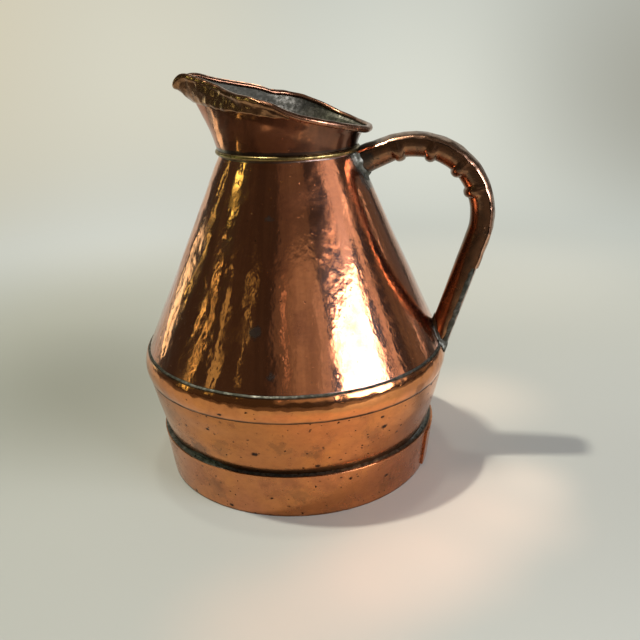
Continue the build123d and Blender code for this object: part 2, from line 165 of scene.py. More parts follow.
paper_mix = place(tree, "MixShader", {0: glow_share, 1: shader.outputs[0], 2: glow})[0]
tree.links.new(paper_mix, tree.nodes["Material Output"].inputs["Surface"])
stage("floor", floor_points, floor_faces, paper, view_turn)
table_half = 2.5
table_paint, tree, shader = new_material("table_paint")
table_grain = place(tree, "TexNoise", {"Scale": 3, "Detail": 3})["Fac"]
tree.links.new(blend(tree, table_grain, (0.13, 0.12, 0.11), (0.1, 0.095, 0.09)), shader.inputs["Base Color"])
shader.inputs["Roughness"].default_value = 0.8
shader.inputs["Specular IOR Level"].default_value = 0.2
table_corners = [(x * table_half, y * table_half, -0.003) for x, y in ((-1, -1), (1, -1), (1, 1), (-1, 1))]
stage("table", table_corners, [(0, 1, 2, 3)], table_paint)


# Lamps. A small strong lamp high on the spout's side throws the shadow to the handle's side,
# and a weaker one overhead fills it. Lit panels stand for the room that the copper mirrors:
# a bright window at the right, golden strips at the left and dim walls in front.
def softbox(name, direction, distance, width, height, strength, colour):
    """A lit panel that faces the jug, from a direction in degrees round it and above the floor.

    Strength is the brightness that its mirror image has."""
    data = bpy.data.lights.new(name, "AREA")
    data.shape = "RECTANGLE"
    data.size = width
    data.size_y = height
    data.energy = strength * math.pi * width * height
    data.color = colour
    lamp = bpy.data.objects.new(name, data)
    turned, raised = math.radians(direction[0]), math.radians(direction[1])
    out = Vector((math.cos(turned) * math.cos(raised), math.sin(turned) * math.cos(raised), math.sin(raised)))
    lamp.location = out * distance + Vector((0, 0, 0.15))
    lamp.rotation_euler = out.to_track_quat("Z", "Y").to_euler()
    bpy.context.scene.collection.objects.link(lamp)


softbox("key_lamp", (-166, 69.5), 4, 0.19, 0.19, 860, (1, 0.955, 0.86))
softbox("overhead_lamp", (122, 84.6), 4, 0.34, 0.34, 42, (1, 0.965, 0.89))
softbox("window", (-30, 15), 1.3, 0.78, 0.42, 13, (1, 1, 1.12))
softbox("window_top", (-10, 31), 1.3, 0.54, 0.28, 1.1, (1, 1.03, 1.2))
softbox("window_side", (0, 15), 1.35, 0.16, 0.6, 0.9, (1, 1, 1.1))
softbox("window_left", (-57, 17), 1.35, 0.2, 0.5, 0.25, (1, 1, 1.1))
softbox("left_gold_strip", (-161, 33), 1.3, 0.045, 0.36, 6.5, (0.7, 1, 0.4))
softbox("left_gold_low", (-163, 10), 1.3, 0.035, 0.46, 3, (0.85, 1, 0.5))
softbox("left_pale_strip", (157, 1), 1.3, 0.26, 0.26, 1.9, (0.9, 1, 0.72))
softbox("left_thin_strip", (168, 14), 1.25, 0.022, 0.4, 4, (0.8, 1, 0.42))
softbox("left_brown_strip", (-144, 15), 1.3, 0.12, 0.34, 0.55, (0.85, 1, 0.55))
softbox("front_left_strip", (-122, 22), 1.4, 0.06, 0.26, 0.42, (0.85, 1, 0.55))
softbox("front_strip", (-88, 25), 1.4, 0.05, 0.18, 0.7, (1, 0.8, 0.75))
# Growing panels, each a little behind the last, make one with a soft edge. At one distance a
# mirror image would show only one of them
for step in range(4):
    softbox("front_panel", (-69, 24), 1.48 + 0.01 * step, 0.58 + 0.08 * step, 0.38 + 0.04 * step, 0.05,
            (1, 0.98, 0.95))
for step in range(4):
    softbox("front_panel_wide", (-75, 23), 1.55 + 0.01 * step, 1.03 + 0.08 * step, 0.5 + 0.04 * step,
            0.0325, (1, 0.96, 0.92))
softbox("front_panel_top", (-75, 39), 1.5, 0.85, 0.4, 0.085, (1, 0.92, 0.9))
softbox("right_strip", (32, 12), 1.5, 0.014, 0.8, 3.5, (1, 1, 1))
softbox("right_panel", (34, 10), 1.6, 1.1, 0.7, 0.11, (1, 0.97, 0.9))
world = bpy.data.worlds.new("room")
world.use_nodes = True
world.node_tree.nodes["Background"].inputs["Color"].default_value = (0.055, 0.049, 0.041, 1)
world.node_tree.nodes["Background"].inputs["Strength"].default_value = 1
bpy.context.scene.world = world


# Base plate. A copper disc set up inside the body with its edge turned down, tinned and
# soldered all round. Its shape needs no change, so it only gets its dull tinned finish.
def effect(name, output, **inputs):
    """A new shader group: its tree, the outputs of its input node, and the socket for its result."""
    tree = bpy.data.node_groups.new(name, "ShaderNodeTree")
    for label, value in inputs.items():
        tree.interface.new_socket(label, in_out="INPUT", socket_type="NodeSocketFloat").default_value = value
    tree.interface.new_socket(output, in_out="OUTPUT", socket_type="NodeSocketFloat")
    return tree, tree.nodes.new("NodeGroupInput").outputs, tree.nodes.new("NodeGroupOutput").inputs[output]


def use(tree, group, **values):
    """Place a shader group in a material with its own values, and return its result."""
    node = tree.nodes.new("ShaderNodeGroup")
    node.node_tree = group
    for key, value in values.items():
        node.inputs[key].default_value = value
    return node.outputs[0]


def xyz(tree, x, y, z):
    """A vector from three numbers."""
    return place(tree, "CombineXYZ", {0: x, 1: y, 2: z})[0]


def per_size(tree, source, span=1000):
    """A noise scale for features of about Size millimetres."""
    return number(tree, "DIVIDE", span, source["Size"])


def cloud(tree, spot, source, scale, detail, roughness=0.5, distortion=0):
    """Soft noise from 0 to 1, with another pattern for each Seed."""
    return place(tree, "TexNoise", {
        "Vector": spot, "W": source["Seed"], "Scale": scale, "Detail": detail, "Roughness": roughness,
        "Distortion": distortion}, noise_dimensions="4D")["Fac"]


def past_level(tree, value, source):
    """A mask that rises softly where the value passes Level."""
    return ramp(tree, value, number(tree, "SUBTRACT", source["Level"], source["Softness"]),
                number(tree, "ADD", source["Level"], source["Softness"]))


# Blotches of tarnish, about as wide as Size in millimetres and Stretch times as tall
tarnish, source, result = effect("tarnish", "Mask", Size=30, Stretch=1, Level=0.5, Softness=0.1, Seed=0)
axes = place(tarnish, "SeparateXYZ", {"Vector": place(tarnish, "TexCoord")["Object"]})
spot = xyz(tarnish, axes["X"], axes["Y"], number(tarnish, "DIVIDE", axes["Z"], source["Stretch"]))
blotches = cloud(tarnish, spot, source, per_size(tarnish, source), 6, 0.62, 0.35)
tarnish.links.new(past_level(tarnish, blotches, source), result)

# Small dishes that the hammer left, about as wide as Size in millimetres
hammer, source, result = effect("hammer_marks", "Height", Size=9, Seed=0)
cells = place(hammer, "TexVoronoi", {
    "Vector": place(hammer, "TexCoord")["Object"], "W": source["Seed"], "Scale": per_size(hammer, source),
}, voronoi_dimensions="4D", feature="F1")
hammer.links.new(number(hammer, "POWER", cells["Distance"], 2), result)

# A gentle swell of the surface, Size across in millimetres
swelling, source, result = effect("swelling", "Height", Size=5, Seed=0)
spot = vector(swelling, "MULTIPLY", place(swelling, "TexCoord")["Object"], (1, 1, 0.6))
swelling.links.new(cloud(swelling, spot, source, per_size(swelling, source), 1, 0.4), result)

# Fine scratches from polishing, in two directions round the body
scratches, source, result = effect("scratches", "Mask", Size=1, Level=0.66, Seed=0)
masks = []
for rotation, shape in (((0.2, 0.1, 0.3), (1, 1, 14)), ((0.9, 0.2, 1.1), (12, 1, 1))):
    spot = place(scratches, "Mapping", {
        "Vector": place(scratches, "TexCoord")["Object"], "Rotation": rotation, "Scale": shape})[0]
    line = cloud(scratches, spot, source, per_size(scratches, source, 100), 3)
    masks.append(ramp(scratches, line, source["Level"], number(scratches, "ADD", source["Level"], 0.08),
                      soft=False))
scratches.links.new(number(scratches, "MAXIMUM", *masks), result)

# Small dark pits with ragged edges, Size apart in millimetres, fewer and smaller with less Amount
specks, source, result = effect("specks", "Mask", Size=9, Amount=0.18, Seed=0)
spot = place(specks, "TexCoord")["Object"]
rag = place(specks, "TexNoise", {"Vector": spot, "Scale": 700, "Detail": 3, "Roughness": 0.7})["Color"]
rag = vector(specks, "MULTIPLY", vector(specks, "SUBTRACT", rag, (0.5, 0.5, 0.5)), (0.0032, 0.0032, 0.0032))
spot = vector(specks, "MULTIPLY", vector(specks, "ADD", spot, rag), (1, 1, 1.5))
spot = vector(specks, "ADD", spot, xyz(specks, source["Seed"], source["Seed"], 0))
dots = place(specks, "TexVoronoi", {"Vector": spot, "Scale": per_size(specks, source)}, feature="F1")
chance = place(specks, "SeparateColor", {"Color": dots["Color"]})[0]
reach = number(specks, "MULTIPLY", number(specks, "POWER", chance, 3), source["Amount"])
specks.links.new(ramp(specks, dots["Distance"], number(specks, "MULTIPLY", reach, 0.6), reach, 1, 0,
                      soft=False), result)

# Grime and painted shade round a point, with a ragged edge. A Flat of 0 makes it a level band round the jug
grime_and_shade, source, result = effect("grime_and_shade", "Mask", X=0, Y=0, Z=0, Flat=1, Reach=0.02, Rag=0.5, Seed=0)
spot = place(grime_and_shade, "TexCoord")["Object"]
away = vector(grime_and_shade, "SUBTRACT", spot, xyz(grime_and_shade, source["X"], source["Y"], source["Z"]))
away = vector(grime_and_shade, "MULTIPLY", away, xyz(grime_and_shade, source["Flat"], source["Flat"], 1))
away = vector(grime_and_shade, "LENGTH", away)
rag = number(grime_and_shade, "SUBTRACT", cloud(grime_and_shade, spot, source, 110, 5, 0.7), 0.5)
rag = number(grime_and_shade, "MULTIPLY", number(grime_and_shade, "MULTIPLY", rag, source["Rag"]), 4)
share = number(grime_and_shade, "ADD", number(grime_and_shade, "DIVIDE", away, source["Reach"]), rag)
grime_and_shade.links.new(ramp(grime_and_shade, share, 0.55, 1, 1, 0), result)

# Upright streaks that run down the body, Count round it and Tall in millimetres
streaks, source, result = effect(
    "streaks", "Mask", Count=8, Tall=90, Level=0.5, Softness=0.1, Seed=0)
axes = place(streaks, "SeparateXYZ", {"Vector": place(streaks, "TexCoord")["Object"]})
spot = vector(streaks, "NORMALIZE", xyz(streaks, axes["X"], axes["Y"], 0))
spot = place(streaks, "VectorMath", {0: spot, "Scale": source["Count"]}, operation="SCALE")[0]
tall = number(streaks, "MULTIPLY", axes["Z"], number(streaks, "DIVIDE", 1000, source["Tall"]))
spot = vector(streaks, "ADD", spot, xyz(streaks, 0, 0, tall))
flow = cloud(streaks, spot, source, 1, 4, distortion=0.6)
streaks.links.new(past_level(streaks, flow, source), result)


def metal(name, bright, warm, dark, seed, rough, patch=28, stretch=1, level=0.56, stained=0.8,
          marks=(9, 0.06), pits=(9, 0.3), chips=None, film=(5, 0.25), ripple=(5, 0.03), streak=None,
          coat=0, dirt_and_shade=(), dirt_and_shade_colour=(0.045, 0.042, 0.03)):
    """Old worked metal: two tones with dark stains, film, pits, scratches and hammer marks.

    A pair is a size in millimetres and an amount, but rough is the roughness clean and dull."""
    material, tree, shader = new_material(name)
    tone = use(tree, tarnish, Size=patch, Stretch=stretch, Level=0.5, Softness=0.2, Seed=seed)
    stain = use(tree, tarnish, Size=patch * 0.6, Stretch=stretch, Level=level, Softness=0.12,
                Seed=seed + 3.7)
    haze = use(tree, tarnish, Size=film[0], Stretch=0.6, Level=0.55, Softness=0.25, Seed=seed + 8.1)
    lines = use(tree, scratches, Size=1.6, Level=0.66, Seed=seed)
    marked = use(tree, specks, Size=pits[0], Amount=pits[1], Seed=seed)
    if chips:
        big = use(tree, specks, Size=chips[0], Amount=chips[1], Seed=seed + 5.5)
        marked = number(tree, "MAXIMUM", marked, big)
    darkened = 0
    for (x, y, z), flat, reach, rag, share in dirt_and_shade:
        dark_spot = use(tree, grime_and_shade, X=x / 1000, Y=y / 1000, Z=z / 1000, Flat=flat, Reach=reach / 1000, Rag=rag,
                   Seed=seed + z)
        darkened = number(tree, "MAXIMUM", darkened, number(tree, "MULTIPLY", dark_spot, share))
    colour = blend(tree, tone, bright, warm)
    if streak:
        count, height, start, brown, share = streak
        runs = use(tree, streaks, Count=count, Tall=height, Level=start, Softness=0.1, Seed=seed)
        colour = blend(tree, number(tree, "MULTIPLY", runs, share), colour, brown)
    for mask, share, shade in ((stain, stained, dark), (haze, film[1], dark), (lines, 0.22, bright)):
        colour = blend(tree, number(tree, "MULTIPLY", mask, share), colour, shade)
    colour = blend(tree, marked, colour, tuple(0.12 * part for part in dark))
    # Listed spots darken the colour: some are grime, some are painted shade.
    if dirt_and_shade:
        colour = blend(tree, darkened, colour, dirt_and_shade_colour)
    tree.links.new(colour, shader.inputs["Base Color"])
    shader.inputs["Metallic"].default_value = 1
    shader.inputs["Coat Weight"].default_value = coat
    shader.inputs["Coat Roughness"].default_value = 0.25
    dull = number(tree, "ADD", number(tree, "MULTIPLY", stain, 0.6), number(tree, "MULTIPLY", haze, 0.4))
    dull = number(tree, "MAXIMUM", number(tree, "MAXIMUM", dull, marked), darkened)
    tree.links.new(ramp(tree, dull, 0, 1, *rough, soft=False), shader.inputs["Roughness"])
    relief = number(tree, "MULTIPLY", use(tree, hammer, Size=marks[0], Seed=seed), marks[1])
    swell = use(tree, swelling, Size=ripple[0], Seed=seed + 6.6)
    for operation, height, share in (("ADD", swell, ripple[1]), ("SUBTRACT", marked, 0.05),
                                     ("SUBTRACT", lines, 0.003)):
        relief = number(tree, operation, relief, number(tree, "MULTIPLY", height, share))
    bump = place(tree, "Bump", {"Height": relief, "Strength": 1, "Distance": 0.001})[0]
    tree.links.new(bump, shader.inputs["Normal"])
    return material


tinned = metal(
    "tinned_copper", (0.33, 0.34, 0.33), (0.22, 0.23, 0.22), (0.07, 0.07, 0.06), 1, (0.38, 0.62),
    patch=16, level=0.5, marks=(6, 0.1), pits=(9, 0.5))


def finish_node(name, material):
    """Give a piece of the frame its finish."""
    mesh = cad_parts[name].data
    mesh.materials.clear()
    mesh.materials.append(material)


finish_node("base_plate", tinned)


# Solder. A grey lead and tin mix, run into every joint by hand, that has gone dark and
# greenish with age and catches the light on its ridges.
solder = metal(
    "old_solder", (0.25, 0.245, 0.21), (0.13, 0.133, 0.105), (0.04, 0.042, 0.03), 2, (0.4, 0.66), patch=7,
    level=0.47, marks=(3.5, 0.12), pits=(4, 0.4), ripple=(3, 0.12))
finish_node("base_solder", solder)
finish_node("neck_solder", solder)


# Lower body. Copper sheet turned into a flared drum whose foot stands inside the foot band.
# It is thin and hand made, so it is a little out of round and has shallow dents.
def build(name, rings, materials, closed=True, bands=(), seams=(), node=None):
    """A fixed piece over rows of rings in millimetres, which stands for its node of the frame.

    A band is a first row, the row after the last and their material. Seams are columns of the
    second material. A piece that isn't closed from its last row to its first gets two flat ends."""
    rings = np.asarray(rings, float)
    count, around, _ = rings.shape
    faces = []
    kinds = []
    for i in range(count if closed else count - 1):
        low = i * around
        high = ((i + 1) % count) * around
        kind = sum(material for first, after, material in bands if first <= i < after)
        for j in range(around):
            k = (j + 1) % around
            faces.append((low + j, low + k, high + k, high + j))
            kinds.append(1 if j in seams else kind)
    if not closed:
        faces.append(tuple(range(around - 1, -1, -1)))
        faces.append(tuple(range((count - 1) * around, count * around)))
        kinds += [0, 0]
    mesh = bpy.data.meshes.new(name)
    mesh.from_pydata((rings.reshape(-1, 3) / 1000).tolist(), [], faces)
    mesh.validate()
    for material in materials:
        mesh.materials.append(material)
    mesh.polygons.foreach_set("material_index", kinds)
    mesh.shade_smooth()
    mesh.set_sharp_from_angle(angle=math.radians(50))
    shell = bmesh.new()
    shell.from_mesh(mesh)
    if shell.calc_volume(signed=True) < 0:
        mesh.flip_normals()
    shell.free()
    piece = bpy.data.objects.new(name, mesh)
    bpy.context.scene.collection.objects.link(piece)
    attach(piece, "root")
    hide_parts(node or name)


def steps(first, last, count):
    """Evenly spaced points of a section, both ends included."""
    return [tuple(a + (b - a) * i / (count - 1) for a, b in zip(first, last)) for i in range(count)]


def held(value, low=0):
    """The value, kept from going under low or over 1."""
    return min(1, max(low, value))


def drift(x, y, z, span, seed):
    """Slow unevenness from -1 to 1 that changes over about one span."""
    return noise.noise(Vector((x / span + seed, y / span, z / span)))


def dishes(x, y, z, cell, seed):
    """Hammer marks: 0 in the middle of a mark and near 1 on the ridge between two."""
    near = noise.voronoi(Vector((x / cell + seed, y / cell, z / cell)))[0]
    return min(1, near[0] ** 2 * 1.6)


def turn(section, columns, shift):
    """Rings for a piece turned about the jug's axis. shift says how far out and up a point moves."""
    rings = []
    for radius, height in section:
        ring = []
        for j in range(columns):
            angle = 2 * math.pi * j / columns
            out, up = shift(radius * math.cos(angle), radius * math.sin(angle), height, angle)
            ring.append(((radius + out) * math.cos(angle), (radius + out) * math.sin(angle), height + up))
        rings.append(ring)
    return rings


def run_round(section_at, radius, columns):
    """Rings along a piece that runs round the jug. section_at gives its section at an angle."""
    rings = []
    for j in range(columns):
        angle = 2 * math.pi * j / columns
        section = section_at(angle, radius * math.cos(angle), radius * math.sin(angle))
        rings.append([(r * math.cos(angle), r * math.sin(angle), h) for r, h in section])
    return rings


def dent(angle, height, where, span, depth):
    """A shallow dent with its middle at an angle in degrees and a height. A bulge is less than 0 deep."""
    turn_from = (math.degrees(angle) - where[0] + 180) % 360 - 180
    away = (turn_from / span[0]) ** 2 + ((height - where[1]) / span[1]) ** 2
    return -depth * math.exp(-away)


sheet_thick = 1.2
body_columns = 480
crease_height = 88.8
lower_wall = [(112.6, 2), (114.6, 38.7), (117.4, 47), (120.4, 58), (123.3, 69), (125.8, 80),
              (127.5, crease_height)]
lower_dents = [(92, 66, 16, 9, 0.8), (-60, 62, 20, 12, 0.7), (-112, 70, 18, 9, 0.9),
               (170, 60, 20, 14, 0.9), (20, 72, 14, 10, 0.6), (-20, 58, 12, 8, 0.5), (-88, 52, 14, 7, 0.4)]


def body_shift(x, y, height, angle):
    out = 0.55 * drift(x, y, height, 55, 1.3) + 0.06 * drift(x, y, height, 14, 4.1)
    out += 0.03 * dishes(x, y, height, 13, 2) - 0.02
    for where in lower_dents:
        out += dent(angle, height, where[:2], where[2:4], where[4])
    fade = held((height - 30) / 14) * held((crease_height + 0.7 - height) / 8, 0.15)
    return out * fade, 0


lower_section = []
for first, last in zip(lower_wall, lower_wall[1:]):
    lower_section += steps(first, last, 9)[:-1]
lower_section.append(lower_wall[-1])
lower_rows = len(lower_section)
lower_section += [(radius - sheet_thick, height) for radius, height in reversed(lower_section)]
body_copper = metal(
    "body_copper", (0.71, 0.265, 0.068), (0.58, 0.21, 0.07), (0.3, 0.1, 0.035), 5, (0.17, 0.42), patch=46,
    level=0.6, stained=0.5, marks=(11, 0.03), pits=(4, 0.32), chips=(12, 0.3), film=(7, 0.4),
    ripple=(7, 0.03), coat=0.25,
    dirt_and_shade=[((0, 0, 40.5), 0, 4.5, 0.8, 0.55), ((0, 0, 89.5), 0, 1.3, 0.3, 0.8),
          ((115, -26, 42), 1, 17, 0.4, 0.7), ((-61, -99, 45), 1, 15, 0.6, 0.5),
          ((8, -121, 68), 1, 9, 1.4, 0.24), ((34, -116, 60), 1, 8, 1.5, 0.28),
          ((-40, -112, 58), 1, 9, 1.4, 0.22), ((-85, -86, 74), 1, 11, 1.4, 0.2),
          ((75, -98, 70), 1, 9, 1.4, 0.2)])
build("lower_body", turn(lower_section, body_columns, body_shift), [body_copper, tinned],
      bands=[(lower_rows, 2 * lower_rows - 1, 1)])

# Foot band. A separate, heavier copper strip round the foot that flares upwards. Its end laps
# over its start on the handle's side, and two copper rivets hold the lap.
band_thick = 1.6
band_low = 114.4
band_high = 119.2
band_top = 38.7


def band_shift(x, y, height, angle):
    out = 0.25 * drift(x, y, height, 60, 7.7) + 0.05 * drift(x, y, height, 12, 3.1)
    out += 0.03 * dishes(x, y, height, 12, 5)
    up = 0.35 * drift(x, y, 0, 40, 9.2) * max(0, (height - 30) / 8.7)
    return out - 0.1, min(up, 0) if height < band_top else up * 0.5


band_section = [(band_low - 0.4, 0), (band_low, 0.5)]
band_section += steps((band_low + 0.1, 1.2), (band_high - 0.1, 37.9), 24)
band_section += [(band_high - 0.1, 38.4), (band_high - 0.5, band_top), (band_high - 1.2, band_top),
                 (band_high - band_thick, 38.3)]
band_section += steps((band_high - 1.7, 37), (band_low - band_thick, 1.2), 14)
band_section += [(band_low - band_thick, 0.4), (band_low - 1.2, 0)]
foot_copper = metal(
    "foot_copper", (0.7, 0.265, 0.08), (0.58, 0.215, 0.09), (0.28, 0.095, 0.04), 11, (0.19, 0.42),
    patch=40, level=0.58, stained=0.5, marks=(10, 0.03), pits=(4, 0.3), chips=(12, 0.24), film=(7, 0.4),
    ripple=(7, 0.03), coat=0.25,
    dirt_and_shade=[((0, 0, 0), 0, 2.2, 0.4, 0.5), ((0, 0, 39.5), 0, 1.6, 0.4, 0.4),
          ((20, -115, 21), 1, 9, 1.4, 0.2), ((-50, -104, 17), 1, 11, 1.4, 0.22),
          ((84, -80, 14), 1, 10, 1.4, 0.2)])
build("foot_band", turn(band_section, body_columns, band_shift), [foot_copper])

lap_from = -14.2
lap_to = 26
lap_columns = 90
lap_gap = 0.12
lap_rings = []
lap_outline = steps((lap_gap, 2.6), (lap_gap, 35.1), 16)
lap_outline += [(lap_gap + band_thick, height) for _, height in reversed(lap_outline)]
for j in range(lap_columns + 1):
    angle = math.radians(lap_from + (lap_to - lap_from) * j / lap_columns)
    ring = []
    for out, height in lap_outline:
        radius = band_low + (band_high - band_low) * (height / band_top) + out + 0.05
        x = radius * math.cos(angle)
        y = radius * math.sin(angle)
        radius += 0.08 * drift(x, y, height, 9, 2.2)
        height += 0.5 * drift(x, y, 0, 16, 8.8) * (1 if height > 30 else 0.3)
        ring.append((radius * math.cos(angle), radius * math.sin(angle), height))
    lap_rings.append(ring)
build("foot_lap_plate", lap_rings, [foot_copper], closed=False)
finish_node("foot_rivets", foot_copper)


# Solder of the foot. It fills the gap between the band's top edge and the body, thick and
# lumpy in places and thin in others, and spreads wide on the handle's side.
def foot_solder_section(angle, x, y):
    lump = 0.5 + 0.5 * drift(x, y, 0, 17, 1.9) + 0.25 * drift(x, y, 0, 6, 6.1)
    side_pool = dent(angle, 0, (-13, 0), (10, 1), -1)
    front_pool = dent(angle, 0, (-121, 0), (9, 1), -1)
    climb = 0.25 + 0.8 * max(0, lump) + 5 * side_pool + 4.5 * front_pool * (0.6 + lump)
    spill = 0.3 * max(0, lump) + 1.2 * front_pool
    wall = 114.8 + 0.3 * climb
    return [(114.7, 36.6), (wall + 0.02, band_top + climb), (wall + 0.55, band_top + climb * 0.8),
            (115.9, 39 + climb * 0.35 + 0.2 * lump), (117.2, 38.75 + 0.3 * lump),
            (117.9 + spill * 0.4, 38.9 + spill * 0.3), (118.2 + spill * 0.5, 38.8), (117.6, 38.3),
            (117.5, 36.6)]


build("foot_solder", run_round(foot_solder_section, radius=118, columns=body_columns), [solder])

# Shoulder. A band of copper rolled to a round edge, with the lower body lapped into it from
# below and the cone from above. It is bright on its crown, where the polishing cloth reaches.
roll_centre = (108.8, 98.7)
roll_radius = 21
roll_start = -26.5
roll_span = 56.5
roll_columns = 540


def roll_at(radius, degrees):
    """A point of the shoulder's section."""
    angle = math.radians(degrees)
    return (roll_centre[0] + radius * math.cos(angle), roll_centre[1] + radius * math.sin(angle))


def roll_lift(x, y):
    """How far the shoulder and its seam rise and fall round the jug."""
    return 0.3 * drift(x, y, 0, 25, 5.5)


def roll_shift(x, y, height, angle):
    out = 0.3 * drift(x, y, height, 45, 3.3) + 0.16 * drift(x, y, height, 7, 8.4)
    return out + 0.2 * (dishes(x, y, height, 7, 1) - 0.4), roll_lift(x, y)


roll_inside = roll_radius - sheet_thick
roll_section = [roll_at(roll_radius, roll_start + roll_span * i / 30) for i in range(31)]
roll_section += [roll_at(roll_radius - 0.3, 30.5), roll_at(roll_inside, 30.3)]
roll_section += [roll_at(roll_inside, roll_start + roll_span * (1 - i / 12)) for i in range(1, 13)]
roll_copper = metal(
    "shoulder_copper", (0.86, 0.32, 0.085), (0.76, 0.27, 0.09), (0.3, 0.09, 0.03), 17, (0.08, 0.26),
    patch=34, level=0.6, stained=0.4, marks=(8, 0.04), pits=(4, 0.22), chips=(12, 0.22), ripple=(5, 0.06),
    coat=0.3, dirt_and_shade=[((0, 0, 109.6), 0, 1.4, 0.3, 0.7), ((0, 0, 89.4), 0, 1.2, 0.3, 0.6)])
build("shoulder_band", turn(roll_section, roll_columns, roll_shift), [roll_copper])


# Solder of the shoulder. A thin grey line where the cone's foot drops inside the rolled edge.
# It was run in hot and wiped, so its width wanders.
def seam_section(angle, x, y):
    lump = 0.5 + 0.5 * drift(x, y, 0, 12, 2.9) + 0.3 * drift(x, y, 0, 4, 7.1)
    width = 0.45 + 0.5 * max(0, lump)
    up = roll_lift(x, y)
    return [(124.9, 109 + up), (125.2, 109.8 + width + up), (125.9, 109.7 + 0.5 * width + up),
            (126.5, 109.35 + 0.2 * lump + up), (126.2, 108.7 + up)]


build("shoulder_solder", run_round(seam_section, radius=127, columns=roll_columns), [solder])

# Cone. One sheet of copper, bent to a cone and planished all over, so it is covered with
# shallow hammer dishes. It was polished for years, and tarnish has settled between.
cone_foot = (126, 108.3)
cone_top = (54.6, 268.1)
cone_slope = 0.447
cone_columns = 600
cone_dents = [(-78, 150, 10, 24, 0.4), (-101, 190, 7, 30, 0.6), (-122, 150, 8, 26, 0.8),
              (-140, 200, 9, 22, 0.8), (-70, 236, 9, 9, 0.4), (-92, 128, 8, 10, 0.5),
              (150, 170, 14, 30, 0.9), (95, 150, 12, 24, 0.9), (60, 210, 12, 18, 0.8)]


def cone_shift(x, y, height, angle):
    """Rougher at the left and behind, where the hammer marks were never planished out."""
    fade = held((height - 109) / 8) * held((268.5 - height) / 10)
    west = math.degrees(-angle % (2 * math.pi))
    rough_side = 0.5 - 0.5 * math.cos(math.pi * held((west - 90) / 18))
    if west > 250:
        rough_side *= max(0, 1 - (west - 250) / 40)
    window_side = math.exp(-((west - 62) / 14) ** 2) * held((height - 150) / 40)
    out = (0.42 - 0.3 * math.exp(-((west - 50) / 30) ** 2)) * drift(x, y, height / 1.6, 34, 2.6)
    out += (0.05 + 0.22 * rough_side) * drift(x, y, height / 2.4, 11, 5.2)
    out += (0.03 + 0.13 * rough_side) * (dishes(x, y, height / 2, 6.5, 3) - 0.4)
    out += (0.03 + 0.05 * rough_side + 0.02 * window_side) * drift(x, y, height / 1.3, 4.2, 9.9)
    for where in cone_dents:
        out += dent(angle, height, where[:2], where[2:4], where[4])
    return out * fade, 0


cone_section = steps(cone_foot, cone_top, 104) + [(54.6, 270), (54.6, 275), (53.4, 275), (53.4, 268)]
cone_rows = len(cone_section) - 2
cone_section += steps((53.3, 266), (cone_foot[0] - 1.35, cone_foot[1]), 60)
cone_copper = metal(
    "cone_copper", (0.84, 0.31, 0.12), (0.72, 0.25, 0.095), (0.3, 0.085, 0.03), 23, (0.05, 0.33),
    patch=34, stretch=1.8, level=0.57, stained=0.5, marks=(8, 0.03), pits=(3.5, 0.22), chips=(22, 0.06),
    film=(8, 0.35), ripple=(2.8, 0.12), streak=(6, 160, 0.5, (0.46, 0.15, 0.055), 0.6), coat=0.5,
    dirt_and_shade_colour=(0.15, 0.148, 0.14),
    dirt_and_shade=[((0, 0, 109.6), 0, 1.6, 0.35, 0.75), ((60, 0, 258), 1, 30, 0.5, 0.85),
          ((0, 0, 267.8), 0, 1.5, 0.3, 0.8), ((-3, -73, 229), 1, 4.5, 0.8, 0.75),
          ((-10, -106, 152), 1, 5.5, 0.8, 0.8), ((4, -117, 121), 1, 5, 0.8, 0.8)])
build("cone_body", turn(cone_section, cone_columns, cone_shift), [cone_copper, tinned],
      bands=[(cone_rows, len(cone_section) - 1, 1)])


# Neck ring. A brass wire laid round the foot of the neck and soldered on, worn smooth and
# yellow, not quite round and not quite level.
def ring_section(angle, x, y):
    wire = 1.75 + 0.1 * drift(x, y, 0, 9, 3)
    centre = 56.47 + 0.12 * drift(x, y, 0, 40, 1)
    height = 269.95 + 0.22 * drift(x, y, 0, 45, 6)
    return [(centre + wire * math.cos(a), height + wire * math.sin(a))
            for a in np.linspace(0, 2 * math.pi, 16, endpoint=False)]


ring_brass = metal(
    "ring_brass", (0.46, 0.34, 0.12), (0.34, 0.24, 0.09), (0.1, 0.07, 0.03), 29, (0.24, 0.5), patch=12,
    level=0.52, marks=(4, 0.05), pits=(3, 0.4))
build("neck_ring", run_round(ring_section, radius=56, columns=400), [ring_brass])

# Neck and spout. One sheet rises from inside the ring, bends outwards and is drawn out into a
# beak, and its edge is rolled outwards over a wire. The inside is tinned and grey.
rim_back = 64
rim_back_height = 286.3
rim_rise = 0.2924
beak_start = -73.7
bend_back = 60.2
bend_back_height = 283.4
bend_rise = 0.1835
rim_points = [(65.5, 0), (64.3, 11), (59.6, 23), (53, 35), (43.5, 45.6), (32, 53.5), (18, 58.7),
              (3.5, 60.3), (-9, 57.6), (-20, 51.5), (-31, 43), (-42, 34.2), (-53, 26.4), (-64, 19.2),
              (-73, 13.4), (-79, 9.8), (-83.5, 7.2), (-86.6, 3.6), (-87.6, 0)]
bend_points = [(bend_back, 0), (59.2, 11), (55.8, 22.5), (49.5, 33.6), (41, 43), (30, 51.2), (16.5, 57.2),
               (2, 59.2), (-11, 56.6), (-23, 51.2), (-34, 44), (-45, 35), (-54.5, 26), (-62, 18.2),
               (-67.2, 12.6), (-70.4, 8.4), (-72, 5.2), (-72.9, 2.4), (-73.2, 0)]


